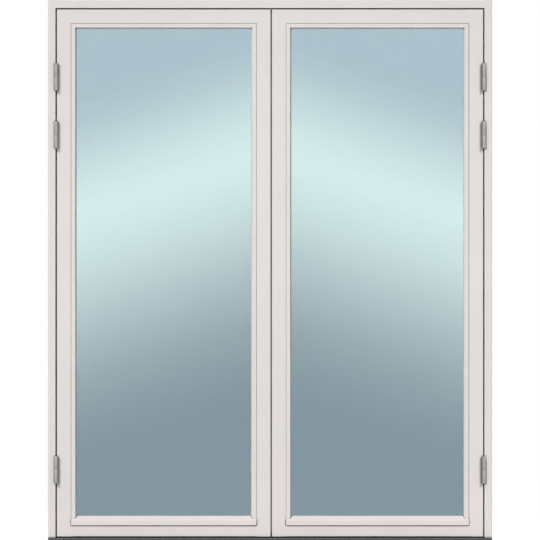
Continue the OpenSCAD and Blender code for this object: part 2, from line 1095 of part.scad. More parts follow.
module flush_bolt_room() {
    translate([right_w - rod_in, mid_d, -cut])
        cylinder(r = rod_r + rod_fit, h = cut + rod_rest + bolt_len + sight);
    flush_bolt_slot(right_w - rod_in);
    on_meeting_edge(right_w)
        box(
            [-faceplate_t - fit, -bolt_plate_w / 2 - fit, bolt_plate_z0() - fit],
            [cut, bolt_plate_w / 2 + fit, bolt_plate_z0() + bolt_plate_h + fit]
        );
}

// The way of the bolt's tab, from a given distance across the leaf out through its edge
module flush_bolt_slot(from) {
    side = tab_w / 2 + sight;
    box(
        [from, mid_d - side, tab_rise_end - tab_h - rod_travel - sight],
        [right_w + cut, mid_d + side, tab_rise_end + sight]
    );
}

function bolt_plate_z0() = tab_rise_end - (tab_h + rod_travel) / 2 - bolt_plate_h / 2;

module flush_bolt_plate() {
    difference() {
        on_meeting_edge(right_w)
            box(
                [-faceplate_t, -bolt_plate_w / 2, bolt_plate_z0()],
                [0, bolt_plate_w / 2, bolt_plate_z0() + bolt_plate_h]
            );
        flush_bolt_slot(right_w - rod_in);
    }
}

module flush_bolt_plates() {
    color(steel) {
        from_top()
            flush_bolt_plate();
        from_bottom()
            flush_bolt_plate();
    }
}

module right_meeting_stile() {
    color(paint)
        difference() {
            meeting_stile(right_w);
            stile_cuts(right_w);
            from_top()
                flush_bolt_room();
            from_bottom()
                flush_bolt_room();
        }
}

/* Nodes */

jamb();  // left_jamb
mirror([1, 0, 0]) jamb();  // right_jamb
head();
threshold_core();
threshold_cover();
frame_seal();
color(steel) on_left() frame_half(hinge_z[0]);  // frame_hinge_left_low
color(steel) on_left() frame_half(hinge_z[1]);  // frame_hinge_left_second
color(steel) on_left() frame_half(hinge_z[2]);  // frame_hinge_left_top
color(steel) on_right() frame_half(hinge_z[0]);  // frame_hinge_right_low
color(steel) on_right() frame_half(hinge_z[1]);  // frame_hinge_right_second
color(steel) on_right() frame_half(hinge_z[2]);  // frame_hinge_right_top
hinge_pins();
frame_hinge_screws();
fixing_sleeves();
strike_plates();
on_left() hinge_stile(left_w);  // left_hinge_stile
on_left() left_meeting_stile();
on_left() top_rail(left_w);  // left_top_rail
on_left() bottom_rail(left_w);  // left_bottom_rail
on_left() pane(left_w, unit_d);  // left_outer_pane
on_left() pane(left_w, inner_pane_d);  // left_inner_pane
on_left() spacer_bar(left_w);  // left_spacer_bar
on_left() setting_blocks(left_w);  // left_setting_blocks
on_left() hinge_side_bead(left_w);  // left_hinge_side_bead
on_left() meeting_side_bead(left_w);  // left_meeting_side_bead
on_left() top_bead(left_w);  // left_top_bead
on_left() sill_bead(left_w);  // left_sill_bead
on_left() glazing_tape(left_w);  // left_glazing_tape
color(steel) on_left() leaf_half(hinge_z[0]);  // leaf_hinge_left_low
color(steel) on_left() leaf_half(hinge_z[1]);  // leaf_hinge_left_second
color(steel) on_left() leaf_half(hinge_z[2]);  // leaf_hinge_left_top
on_left() leaf_screws();  // left_hinge_screws
on_left() meeting_seal();
on_left() lock_case();
on_left() lock_faceplate();
on_left() upper_rod();
on_left() lower_rod();
on_left() lever_handle();
on_left() handle_plate();
on_right() hinge_stile(right_w);  // right_hinge_stile
on_right() right_meeting_stile();
on_right() top_rail(right_w);  // right_top_rail
on_right() bottom_rail(right_w);  // right_bottom_rail
on_right() pane(right_w, unit_d);  // right_outer_pane
on_right() pane(right_w, inner_pane_d);  // right_inner_pane
on_right() spacer_bar(right_w);  // right_spacer_bar
on_right() setting_blocks(right_w);  // right_setting_blocks
on_right() hinge_side_bead(right_w);  // right_hinge_side_bead
on_right() meeting_side_bead(right_w);  // right_meeting_side_bead
on_right() top_bead(right_w);  // right_top_bead
on_right() sill_bead(right_w);  // right_sill_bead
on_right() glazing_tape(right_w);  // right_glazing_tape
color(steel) on_right() leaf_half(hinge_z[0]);  // leaf_hinge_right_low
color(steel) on_right() leaf_half(hinge_z[1]);  // leaf_hinge_right_second
color(steel) on_right() leaf_half(hinge_z[2]);  // leaf_hinge_right_top
on_right() leaf_screws();  // right_hinge_screws
on_right() from_top() flush_bolt();  // top_flush_bolt
on_right() from_bottom() flush_bolt();  // bottom_flush_bolt
on_right() flush_bolt_plates();
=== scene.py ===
import math

import bmesh
import bpy
from mathutils import Matrix, Vector
from mathutils.bvhtree import BVHTree


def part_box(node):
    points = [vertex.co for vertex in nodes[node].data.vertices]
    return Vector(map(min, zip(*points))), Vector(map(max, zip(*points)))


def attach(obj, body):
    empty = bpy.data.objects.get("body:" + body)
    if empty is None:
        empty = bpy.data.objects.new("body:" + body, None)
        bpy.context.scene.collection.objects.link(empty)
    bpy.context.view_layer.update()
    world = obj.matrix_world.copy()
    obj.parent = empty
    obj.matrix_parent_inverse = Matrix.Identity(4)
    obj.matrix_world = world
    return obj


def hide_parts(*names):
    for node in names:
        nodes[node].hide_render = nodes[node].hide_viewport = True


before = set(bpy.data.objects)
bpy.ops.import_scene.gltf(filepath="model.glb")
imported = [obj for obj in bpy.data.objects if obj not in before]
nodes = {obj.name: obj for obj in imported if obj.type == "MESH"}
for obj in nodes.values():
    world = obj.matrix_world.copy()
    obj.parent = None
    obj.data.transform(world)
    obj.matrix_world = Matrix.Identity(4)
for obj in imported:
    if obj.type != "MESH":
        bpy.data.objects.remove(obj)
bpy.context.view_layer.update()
mm = 0.001
print("frame loaded:", len(nodes), "nodes")


# Helpers for nodes and materials

def linearColour(code):
    # The sRGB curve, undone
    parts = [int(code[i:i + 2], 16) / 255 for i in (1, 3, 5)]
    return (*[p / 12.92 if p <= 0.04045 else ((p + 0.055) / 1.055) ** 2.4 for p in parts], 1.0)


def addNode(tree, kind, sockets=None, **settings):
    node = tree.nodes.new(kind)
    for name, value in settings.items():
        setattr(node, name, value)
    for key, value in (sockets or {}).items():
        if isinstance(value, bpy.types.Node):
            value = value.outputs[0]
        if isinstance(value, bpy.types.NodeSocket):
            tree.links.new(value, node.inputs[key])
        else:
            node.inputs[key].default_value = value
    return node


def startMaterial(name):
    material = bpy.data.materials.new(name)
    material.use_nodes = True
    tree = material.node_tree
    tree.nodes.clear()
    return material, tree, addNode(tree, "ShaderNodeTexCoord").outputs["Object"]


def endMaterial(tree, sockets, relief=None):
    # relief: (height pattern, (depth in mm, strength))
    if relief:
        height, (depth, strength) = relief
        sockets["Normal"] = addNode(tree, "ShaderNodeBump", {"Height": height, "Strength": strength,
                                                             "Distance": depth * mm})
    shader = addNode(tree, "ShaderNodeBsdfPrincipled", sockets)
    addNode(tree, "ShaderNodeOutputMaterial", {"Surface": shader})


noiseSpan = (0.3, 0.7)  # nearly all of a noise pattern lies between these values


def noiseAt(tree, place, sizes, detail=2.0, roughness=0.5):
    # sizes: how long one blotch is along X, Y and Z, in mm
    scale = addNode(tree, "ShaderNodeMapping",
                    {"Vector": place, "Scale": tuple(1000 / size for size in sizes)})
    noise = addNode(tree, "ShaderNodeTexNoise", {"Vector": scale, "Scale": 1.0, "Detail": detail,
                                                 "Roughness": roughness})
    return noise.outputs["Fac"]


def toneBy(tree, pattern, first, second, span=noiseSpan, most=1.0):
    # From the first colour to the second while the pattern crosses the span; hex codes or sockets
    first, second = [linearColour(c) if isinstance(c, str) else c for c in (first, second)]
    share = addNode(tree, "ShaderNodeMapRange", {"Value": pattern, "From Min": span[0],
                                                 "From Max": span[1], "To Max": most})
    return addNode(tree, "ShaderNodeMix", {0: share, 6: first, 7: second},
                   data_type="RGBA").outputs[2]


def paintCreviceShade(tree, tone, values):
    # Painted shade: the colour darkens towards a dark tone in joints, gaps and corners where shade
    # falls, as far in as one joint width or two
    openness = addNode(tree, "ShaderNodeAmbientOcclusion", {"Distance": values["joint"] * mm},
                       samples=8)
    return toneBy(tree, openness.outputs["AO"], values["jointColour"], tone, values["jointSpan"])


def roughnessBy(tree, *layers):
    # Each layer is (pattern, its value where the pattern is low, and where it is high); they add up
    total = 0.0
    for pattern, low, high in layers:
        layer = addNode(tree, "ShaderNodeMapRange",
                        {"Value": pattern, "From Min": noiseSpan[0], "From Max": noiseSpan[1],
                         "To Min": low, "To Max": high})
        total = addNode(tree, "ShaderNodeMath", {0: total, 1: layer}, operation="ADD")
    return total


# Materials

# The last three values set painted shade in gaps and grooves: how far it reaches in mm, the
# openness over which it fades, and its dark colour
paint = {"colour": "#E3DCD9", "second": "#E0D9D6", "streakWidth": 1.8, "streakLength": 110.0,
         "peel": 1.4, "pull": 0.8, "blotch": 160.0, "gloss": (0.36, 0.47), "relief": (0.035, 0.5),
         "joint": 7.0, "jointSpan": (0.44, 0.97), "jointColour": "#24211F"}


def makePaint(name, along):
    # Warm white alkyd on planed pine, sprayed: an even satin skin, faintly pulled along the grain,
    # with painted shade in its gaps and grooves
    material, tree, place = startMaterial(name)
    sizes = [paint["streakWidth"]] * 3
    sizes[along] = paint["streakLength"]
    streaks = noiseAt(tree, place, sizes, detail=3.0)
    peel = noiseAt(tree, place, [paint["peel"]] * 3, detail=1.0)
    blotches = noiseAt(tree, place, [paint["blotch"]] * 3)
    tone = toneBy(tree, blotches, paint["colour"], paint["second"])
    skin = addNode(tree, "ShaderNodeMath", {0: streaks, 1: paint["pull"], 2: peel},
                   operation="MULTIPLY_ADD")
    # The base colour carries painted shade, darker in gaps and grooves
    endMaterial(tree, {"Base Color": paintCreviceShade(tree, tone, paint), "IOR": 1.5,
                       "Roughness": roughnessBy(tree, (streaks, *paint["gloss"]))},
                (skin, paint["relief"]))
    return material


# The last three values set painted shade in the hinges' corners: how far it reaches in mm, the
# openness over which it fades, and its dark colour
zinc = {"colour": "#BDB9B5", "second": "#A9A5A1", "cloud": 9.6, "grain": 0.35, "metal": 0.4,
        "gloss": (0.5, 0.62), "relief": (0.01, 0.4), "joint": 10.0, "jointSpan": (0.52, 1.0),
        "jointColour": "#24221F"}


def makeZinc(name, colour, second, gloss):
    # Zinc plated steel under clear lacquer: a grey satin with soft clouds, darkened by painted
    # shade in the corners and beside the door's face
    material, tree, place = startMaterial(name)
    clouds = noiseAt(tree, place, [zinc["cloud"]] * 3, detail=3.0, roughness=0.6)
    grain = noiseAt(tree, place, [zinc["grain"]] * 3, detail=1.0)
    tone = toneBy(tree, clouds, colour, second)
    # The base colour carries painted shade in the corners
    endMaterial(tree, {"Base Color": paintCreviceShade(tree, tone, zinc), "Metallic": zinc["metal"],
                       "Roughness": roughnessBy(tree, (clouds, *gloss))}, (grain, zinc["relief"]))
    return material


brushed = {"cloud": 26.0, "uneven": 0.03, "relief": (0.02, 0.5)}


def makeBrushed(name, colour, second, sizes, gloss):
    # Satin metal with lines drawn one way by an abrasive belt or by the extrusion die
    material, tree, place = startMaterial(name)
    lines = noiseAt(tree, place, sizes, detail=3.0, roughness=0.65)
    clouds = noiseAt(tree, place, [brushed["cloud"]] * 3)
    rough = roughnessBy(tree, (lines, *gloss), (clouds, -brushed["uneven"], brushed["uneven"]))
    endMaterial(tree, {"Base Color": toneBy(tree, lines, colour, second), "Metallic": 1.0,
                       "Roughness": rough}, (lines, brushed["relief"]))
    return material


rubber = {"dust": 35.0, "dustSpan": (0.4, 0.75), "strength": 0.6}


def makeRubber(name, colour, second, cell, depth, gloss):
    # Matt black rubber: extruded and dusty, or foamed with small cells
    material, tree, place = startMaterial(name)
    cells = noiseAt(tree, place, [cell] * 3, roughness=0.6)
    dust = noiseAt(tree, place, [rubber["dust"]] * 3, detail=4.0, roughness=0.6)
    endMaterial(tree, {"Base Color": toneBy(tree, dust, colour, second, rubber["dustSpan"]),
                       "Roughness": roughnessBy(tree, (dust, *gloss)), "IOR": 1.5},
                (cells, (depth, rubber["strength"])))
    return material


oak = {"light": "#B08A5C", "dark": "#8A6238", "poreColour": "#4E3420", "ring": 6.0, "along": 83.3,
       "waves": 0.32, "bend": (420.0, 30.0, 30.0), "waver": 5.0, "pore": (14.0, 0.9, 0.9),
       "poreSpan": (0.56, 0.68), "poreShare": 0.75, "gloss": (0.48, 0.62), "relief": (-0.08, 0.6)}


def makeOak(name):
    # Oiled oak, planed along X: growth rings drawn out along the board, and short dark pores
    material, tree, place = startMaterial(name)
    bend = noiseAt(tree, place, oak["bend"], detail=3.0)
    waver = addNode(tree, "ShaderNodeMath", {0: bend, 1: oak["waver"]}, operation="MULTIPLY")
    drawn = addNode(tree, "ShaderNodeMapping",
                    {"Vector": place, "Scale": (1000 / oak["along"], 1000 / oak["ring"],
                                                1000 / oak["ring"])})
    rings = addNode(tree, "ShaderNodeTexWave",
                    {"Vector": drawn, "Scale": oak["waves"], "Distortion": waver, "Detail": 2.0},
                    bands_direction="DIAGONAL")
    pores = noiseAt(tree, place, oak["pore"], roughness=0.6)
    tone = toneBy(tree, rings.outputs["Fac"], oak["light"], oak["dark"], (0.0, 1.0))
    tone = toneBy(tree, pores, tone, oak["poreColour"], oak["poreSpan"], oak["poreShare"])
    endMaterial(tree, {"Base Color": tone, "Roughness": roughnessBy(tree, (pores, *oak["gloss"])),
                       "IOR": 1.5}, (pores, oak["relief"]))
    return material


glazing = {"outer": "#98A9B4", "inner": "#F1F6F4", "ior": 1.52, "coatIor": 2.0, "ripple": 260.0,
           "relief": (0.05, 0.1)}


def makeGlass(name, tint, coat):
    # Float glass, blue grey and with a hard reflecting coat outside, clear inside; a faint ripple
    material, tree, place = startMaterial(name)
    ripple = noiseAt(tree, place, [glazing["ripple"]] * 3, detail=1.0)
    endMaterial(tree, {"Base Color": linearColour(tint), "Roughness": 0.0, "IOR": glazing["ior"],
                       "Transmission Weight": 1.0, "Coat Weight": coat, "Coat Roughness": 0.0,
                       "Coat IOR": glazing["coatIor"]}, (ripple, glazing["relief"]))
    return material


paintUpright = makePaint("alkydPaintUpright", 2)
paintLevel = makePaint("alkydPaintLevel", 0)
hingeZinc = makeZinc("zincPlatedHinge", zinc["colour"], zinc["second"], zinc["gloss"])
screwZinc = makeZinc("zincPlatedScrew", "#C9C7C0", "#B2AFA6", (0.25, 0.38))
lockSteel = makeBrushed("platedLockSteel", "#C6C5C2", "#ABAAA7", [0.5, 0.5, 60.0], (0.26, 0.4))
handleSteel = makeBrushed("brushedStainlessHandle", "#C4C1BC", "#A9A6A1", [40.0, 0.35, 0.35],
                          (0.24, 0.36))
thresholdMetal = makeBrushed("anodisedAluminiumExtruded", "#7A7D7E", "#686B6C", [300.0, 0.9, 0.9],
                             (0.38, 0.48))
spacerMetal = makeBrushed("millAluminiumSpacer", "#A5A6A7", "#8C8D8F", [90.0, 0.7, 90.0],
                          (0.35, 0.45))
# Painted shade: near-black for the discs that stand for the spacers' holes
paintedHoleShade = makeRubber("perforationShade", "#17181A", "#1D1E20", 1.0, 0.01, (0.7, 0.8))
sealRubber = makeRubber("epdmExtruded", "#141414", "#26262A", 0.8, 0.03, (0.55, 0.8))
tapeFoam = makeRubber("closedCellFoam", "#191919", "#222224", 0.45, 0.12, (0.8, 0.92))
blockPlastic = makeRubber("polypropyleneMoulded", "#2B2D31", "#33363A", 0.6, 0.02, (0.4, 0.55))
sillOak = makeOak("oiledOakPlaned")
outerGlass = makeGlass("coatedFloatGlass", glazing["outer"], 1.0)
innerGlass = makeGlass("clearFloatGlass", glazing["inner"], 0.0)
print("materials made")


# Helpers for objects and meshes

def addObject(name, data):
    made = bpy.data.objects.new(name, data)
    bpy.context.scene.collection.objects.link(made)
    return made


def newPiece(name, mesh, body, replaced):
    piece = addObject(name, mesh)
    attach(piece, body)
    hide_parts(*replaced)
    return piece


def meshOf(name, bm, outwards=False):
    if outwards:
        bmesh.ops.recalc_face_normals(bm, faces=bm.faces)
    mesh = bpy.data.meshes.new(name)
    bm.to_mesh(mesh)
    bm.free()
    return mesh


def joinMeshes(base, extra):
    # The base takes the extra mesh in and keeps its own materials
    whole = bmesh.new()
    whole.from_mesh(base)
    whole.from_mesh(extra)
    whole.to_mesh(base)
    whole.free()


def addDetail(base, detail, material):
    # Joins a detail that has a material of its own
    base.materials.append(material)
    for face in detail.polygons:
        face.material_index = len(base.materials) - 1
    joinMeshes(base, detail)


def smoothMesh(mesh, angle=30):
    mesh.shade_smooth()
    mesh.set_sharp_from_angle(angle=math.radians(angle))


soften = {"merge": 0.004, "flat": 0.008, "touch": 0.16, "smooth": 32}


def cleanMesh(node):
    bm = bmesh.new()
    bm.from_mesh(nodes[node].data)
    bmesh.ops.remove_doubles(bm, verts=bm.verts, dist=soften["merge"] * mm)
    bmesh.ops.dissolve_limit(bm, angle_limit=soften["flat"], verts=bm.verts, edges=bm.edges)
    return bm


def surfaceOf(node):
    data = nodes[node].data
    return BVHTree.FromPolygons([v.co for v in data.vertices],
                                [p.vertices for p in data.polygons])


def softMesh(name, finishes, radius, steps=2, least=0.5, smooth=False, shortest=0.0):
    # finishes: {node: material}. Edges are rounded except where a piece meets another of these
    # nodes; least is an angle in radians, radius and shortest are in mm
    materials = list(dict.fromkeys(finishes.values()))
    surfaces = {node: surfaceOf(node) for node in finishes}
    whole = bmesh.new()
    for node, material in finishes.items():
        bm = cleanMesh(node)
        others = [surface for other, surface in surfaces.items() if other != node]

        def touches(vert):
            return any(s.find_nearest(vert.co, soften["touch"] * mm)[0] is not None for s in others)

        sharp = [e for e in bm.edges if e.is_manifold and e.calc_face_angle(0.0) > least
                 and e.calc_length() > shortest * mm
                 and not (touches(e.verts[0]) and touches(e.verts[1]))]
        bmesh.ops.bevel(bm, geom=sharp, offset=radius * mm, segments=steps, profile=0.5,
                        affect="EDGES", clamp_overlap=True)
        for face in bm.faces:
            face.material_index = materials.index(material)
        part = meshOf("part", bm)
        whole.from_mesh(part)
        bpy.data.meshes.remove(part)
    bmesh.ops.triangulate(whole, faces=whole.faces)
    mesh = meshOf(name, whole)
    for material in materials:
        mesh.materials.append(material)
    if smooth:
        smoothMesh(mesh, soften["smooth"])
    return mesh


def skinLoops(bm, loops, closed=False):
    # Closed joins the last loop to the first; otherwise both ends are capped
    pairs = list(zip(loops, loops[1:])) + ([(loops[-1], loops[0])] if closed else [])
    for low, high in pairs:
        for i in range(len(low)):
            j = (i + 1) % len(low)
            bm.faces.new((low[i], low[j], high[j], high[i]))
    if not closed:
        bm.faces.new(loops[0][::-1])
        bm.faces.new(loops[-1])


def ringMesh(name, rings, sides=24, closed=False):
    # Rings of (height, radius or radius by angle), in mm, from the foot up, then inwards
    bm = bmesh.new()
    angles = [2 * math.pi * i / sides for i in range(sides)]
    loops = []
    for height, radius in rings:
        radii = [(radius(a) if callable(radius) else radius) * mm for a in angles]
        loops.append([bm.verts.new((r * math.cos(a), r * math.sin(a), height * mm))
                      for r, a in zip(radii, angles)])
    skinLoops(bm, loops, closed)
    return meshOf(name, bm)


# Geometry Nodes trees for what repeats

def newTree(name, inputs):
    # inputs: {label: kind of socket}
    tree = bpy.data.node_groups.new(name, "GeometryNodeTree")
    tree.interface.new_socket("Geometry", in_out="INPUT", socket_type="NodeSocketGeometry")
    for label, kind in inputs.items():
        tree.interface.new_socket(label, in_out="INPUT", socket_type="NodeSocket" + kind)
    tree.interface.new_socket("Geometry", in_out="OUTPUT", socket_type="NodeSocketGeometry")
    return tree, addNode(tree, "NodeGroupInput").outputs


def endTree(tree, given, points, turned=True):
    # The shape at every point, with one finish; turned, its +Z follows the point's facing
    shape = addNode(tree, "GeometryNodeObjectInfo", {"Object": given["Shape"]})
    sockets = {"Points": points, "Instance": shape.outputs["Geometry"], "Scale": given["Size"]}
    if turned:
        facing = addNode(tree, "GeometryNodeInputNamedAttribute", {"Name": "facing"},
                         data_type="FLOAT_VECTOR")
        sockets["Rotation"] = addNode(tree, "FunctionNodeAlignRotationToVector",
                                      {"Vector": facing.outputs["Attribute"]}, axis="Z")
    placed = addNode(tree, "GeometryNodeInstanceOnPoints", sockets)
    real = addNode(tree, "GeometryNodeRealizeInstances", {"Geometry": placed})
    done = addNode(tree, "GeometryNodeSetMaterial", {"Geometry": real, "Material": given["Finish"]})
    addNode(tree, "NodeGroupOutput", {"Geometry": done})
    return tree


def makePlacer():
    # Puts one shape at every point of a mesh
    tree, given = newTree("placeShapes", {"Shape": "Object", "Size": "Float", "Finish": "Material"})
    return endTree(tree, given,
                   addNode(tree, "GeometryNodeMeshToPoints", {"Mesh": given["Geometry"]}))


def makeLiner():
    # Lays one shape at even steps along every edge of a mesh
    tree, given = newTree("layAlongLines", {"Shape": "Object", "Pitch": "Float", "Size": "Float",
                                            "Finish": "Material"})
    line = addNode(tree, "GeometryNodeMeshToCurve", {"Mesh": given["Geometry"]})
    return endTree(tree, given, addNode(tree, "GeometryNodeResampleCurve",
                                        {"Curve": line, "Length": given["Pitch"]}, mode="LENGTH"))


def makeRibber():
    # Lays ribs side by side along Y
    tree, given = newTree("treadRibs", {"Shape": "Object", "Pitch": "Float", "Count": "Int",
                                        "Size": "Float", "Finish": "Material"})
    step = addNode(tree, "ShaderNodeCombineXYZ", {"Y": given["Pitch"]})
    return endTree(tree, given, addNode(tree, "GeometryNodeMeshLine",
                                        {"Count": given["Count"], "Offset": step}, mode="OFFSET"),
                   turned=False)


def grow(name, mesh, tree, values):
    # Runs a tree on a mesh and gives back the plain mesh that it makes
    holder = addObject(name, mesh)
    modifier = holder.modifiers.new("grow", "NODES")
    modifier.node_group = tree
    sockets = {s.name: s.identifier for s in tree.interface.items_tree if s.in_out == "INPUT"}
    for label, value in values.items():
        modifier[sockets[label]] = value
    view = bpy.context.evaluated_depsgraph_get()
    made = bpy.data.meshes.new_from_object(holder.evaluated_get(view))
    bpy.data.objects.remove(holder)
    made.name = name
    return made


def pointsMesh(name, spots, edges=()):
    # spots: (place, the way its +Z faces)
    mesh = bpy.data.meshes.new(name)
    mesh.from_pydata([place for place, facing in spots], list(edges), [])
    facings = mesh.attributes.new("facing", "FLOAT_VECTOR", "POINT")
    for i, (place, facing) in enumerate(spots):
        facings.data[i].vector = facing
    return mesh


placer, liner, ribber = makePlacer(), makeLiner(), makeRibber()


def copiesAt(name, spots, shape, finish):
    return grow(name, pointsMesh(name + "Spots", spots), placer,
                {"Shape": shape, "Size": 1.0, "Finish": finish})


# Sizes that the CAD model has, in metres; the leaves' meeting edges slant by meetingSlope degrees

door = {"innerX": 859.5 * mm, "pairX": 854.5 * mm, "faceY": -57.5 * mm, "stopY": 2.5 * mm,
        "leafT": 56 * mm, "hingeZ": [0.296, 1.639, 1.871], "handleZ": 1.05, "handleIn": 30 * mm,
        "leftW": 857.25 * mm, "leafLow": 29.1 * mm, "leafHigh": 2141.8 * mm, "headLow": 2147 * mm,
        "sillTop": 23.5 * mm, "meetingSlope": 3}
handleX = -door["pairX"] + door["leftW"] - door["handleIn"]
innerY = door["faceY"] + door["leafT"]
midY = door["faceY"] + door["leafT"] / 2

# Painted timber

timber = {"edge": 1.6, "beadEdge": 0.45, "beadAngle": 0.1, "boardEdge": 0.6, "steps": 3,
          "shortest": 60.0}
frameFinish = {"left_jamb": paintUpright, "right_jamb": paintUpright, "head": paintLevel}
newPiece("frame_timber",
         softMesh("frame_timber", frameFinish, timber["edge"], timber["steps"],
                  shortest=timber["shortest"]),
         "frame", frameFinish)
for side in ("left", "right"):
    leafFinish = {f"{side}_hinge_stile": paintUpright, f"{side}_meeting_stile": paintUpright,
                  f"{side}_top_rail": paintLevel, f"{side}_bottom_rail": paintLevel}
    newPiece(f"{side}_leaf_timber",
             softMesh(f"{side}_leaf_timber", leafFinish, timber["edge"], timber["steps"],
                      shortest=timber["shortest"]),
             f"{side}_leaf", leafFinish)
    beadFinish = {f"{side}_hinge_side_bead": paintUpright,
                  f"{side}_meeting_side_bead": paintUpright,
                  f"{side}_top_bead": paintLevel, f"{side}_sill_bead": paintLevel}
    newPiece(f"{side}_glazing_beads",
             softMesh(f"{side}_glazing_beads", beadFinish, timber["beadEdge"],
                      least=timber["beadAngle"]),
             f"{side}_leaf", beadFinish)
newPiece("threshold_board",
         softMesh("threshold_board", {"threshold_core": sillOak}, timber["boardEdge"]),
         "frame", ["threshold_core"])
print("timber made")

# Hinges, one piece for each side and body

hinge = {"edge": 0.45, "steps": 3, "names": ("low", "second", "top"), "screwPitch": 26.0,
         "endScrewIn": 10.0, "midScrewIn": 24.0}
for half in ("frame", "leaf"):
    for side in ("left", "right"):
        members = [f"{half}_hinge_{side}_{name}" for name in hinge["names"]]
        name = f"{side}_{half}_hinges"
        mesh = softMesh(name, {node: hingeZinc for node in members}, hinge["edge"],
                        hinge["steps"], smooth=True)
        newPiece(name, mesh, "frame" if half == "frame" else f"{side}_leaf",
                 members)

# Countersunk screws with a six-lobed recess

screw = {"head": 3.95, "neck": 3.7, "rim": 3.77, "shank": 1.95, "rise": 2.4, "length": 24.0,
         "taper": 4.0, "tip": 0.3, "sunk": 0.12, "neckDeep": 0.35, "headDeep": 0.12,
         "recess": 1.75, "lobe": 0.16, "deep": 1.5, "narrow": 0.86, "cone": 0.4, "point": 0.2}


def lobed(angle):
    return screw["recess"] * (1 + screw["lobe"] * math.cos(6 * angle))


def screwMesh(name):
    top, foot = -screw["sunk"], -screw["length"]  # the head lies a little inside the plate's face
    floor = top - screw["deep"]
    return ringMesh(name, [
        (foot, screw["tip"]), (foot + screw["taper"], screw["shank"]),
        (top - screw["rise"], screw["shank"]), (top - screw["neckDeep"], screw["neck"]),
        (top - screw["headDeep"], screw["head"]), (top, screw["rim"]), (top, lobed),
        (floor, lambda a: screw["narrow"] * lobed(a)),
        (floor - screw["cone"], screw["point"])], sides=36)


def hingeScrews(side, into):
    # Four to a plate, staggered; side is -1 for the left leaf and +1 for the right one, and into
    # is +1 for the leaf's plates and -1 for the frame's
    x = door["pairX"] if into > 0 else door["innerX"]
    spots = []
    for z in door["hingeZ"]:
        for step in (-1.5, -0.5, 0.5, 1.5):
            depth = (hinge["endScrewIn"] if abs(step) > 1 else hinge["midScrewIn"]) * mm
            place = (side * x, door["faceY"] + depth, z + step * hinge["screwPitch"] * mm)
            spots.append((place, (side * into, 0, 0)))
    return spots


screwShape = addObject("screwShape", screwMesh("screwShape"))  # copied by the trees, then removed
screwSets = {"frame_hinge_screw_set": ("frame", hingeScrews(-1, -1) + hingeScrews(1, -1),
                                       "frame_hinge_screws"),
             "left_hinge_screw_set": ("left_leaf", hingeScrews(-1, 1), "left_hinge_screws"),
             "right_hinge_screw_set": ("right_leaf", hingeScrews(1, 1), "right_hinge_screws")}
for name, (body, spots, node) in screwSets.items():
    mesh = copiesAt(name, spots, screwShape, screwZinc)
    smoothMesh(mesh)
    newPiece(name, mesh, body, [node])
print("hinges and screws made")

# Fixing sleeves with a hexagon socket, in the jambs

sleeve = {"outer": 7.95, "hole": 4.2, "acrossFlats": 10.0, "deep": 9.0, "length": 30.5, "count": 5,
          "foot": 0.6, "edge": 0.7, "lip": 0.5, "firstZ": 150, "stepZ": 470, "y": -12.5}


def hexagon(angle):
    turn = (angle + math.pi / 6) % (math.pi / 3) - math.pi / 6
    return sleeve["acrossFlats"] / 2 / math.cos(turn)


def sleeveMesh(name):
    foot, outer = -sleeve["length"], sleeve["outer"]
    return ringMesh(name, [
        (foot, sleeve["hole"]), (foot, outer - sleeve["foot"]), (foot + sleeve["foot"], outer),
        (-sleeve["edge"], outer), (0.0, outer - sleeve["edge"]),
        (0.0, lambda a: hexagon(a) + sleeve["lip"]), (-sleeve["lip"], hexagon),
        (-sleeve["deep"], hexagon), (-sleeve["deep"], sleeve["hole"])], sides=48, closed=True)


sleeveShape = addObject("sleeveShape", sleeveMesh("sleeveShape"))
sleeveSpots = [((side * door["innerX"], sleeve["y"] * mm,
                 (sleeve["firstZ"] + sleeve["stepZ"] * i) * mm), (-side, 0, 0))
               for side in (-1, 1) for i in range(sleeve["count"])]
mesh = copiesAt("fixing_sleeve_set", sleeveSpots, sleeveShape, screwZinc)
smoothMesh(mesh)
newPiece("fixing_sleeve_set", mesh, "frame", ["fixing_sleeves"])

# Seals: a soft bulb on a barbed foot, round the stops, and a strip between the leaves

seal = {"inset": 4.0, "stripEdge": 0.9,
        "bulb": [(0.0, 0.0), (0.0, -1.2), (0.5, -2.6), (1.6, -3.4), (3.0, -3.6), (4.4, -3.4),
                 (5.5, -2.6), (6.0, -1.2), (6.0, 0.0), (4.5, 0.0), (4.1, 1.5), (4.45, 2.0),
                 (4.0, 3.2), (4.4, 3.7), (3.4, 5.0), (2.6, 5.0), (1.6, 3.7), (2.0, 3.2),
                 (1.55, 2.0), (1.9, 1.5), (1.5, 0.0)]}


def bulbMesh(name):
    # The profile of inset and depth runs round the pair in the XZ plane, with mitred corners
    bm = bmesh.new()
    loops = []
    for inset, depth in seal["bulb"]:
        a = (seal["inset"] + inset) * mm
        x, y = door["pairX"] - a, door["stopY"] + depth * mm
        low, high = door["leafLow"] + a, door["leafHigh"] - a
        loops.append([bm.verts.new(corner) for corner in
                      ((-x, y, low), (x, y, low), (x, y, high), (-x, y, high))])
    skinLoops(bm, loops, True)
    return meshOf(name, bm, True)


sealMesh = bulbMesh("frame_seal_bulb")
sealMesh.materials.append(sealRubber)
newPiece("frame_seal_bulb", sealMesh, "frame", ["frame_seal"])
newPiece("meeting_seal_strip",
         softMesh("meeting_seal_strip", {"meeting_seal": sealRubber}, seal["stripEdge"], 3,
                  smooth=True),
         "left_leaf", ["meeting_seal"])
print("sleeves and seals made")

# Threshold cover with a ribbed tread

tread = {"edge": 0.35, "pitch": 4.4, "width": 1.6, "height": 0.5, "sunk": 0.3, "shoulder": 0.3,
         "crown": 0.6, "start": -72.0, "reach": 885.0, "count": 4}


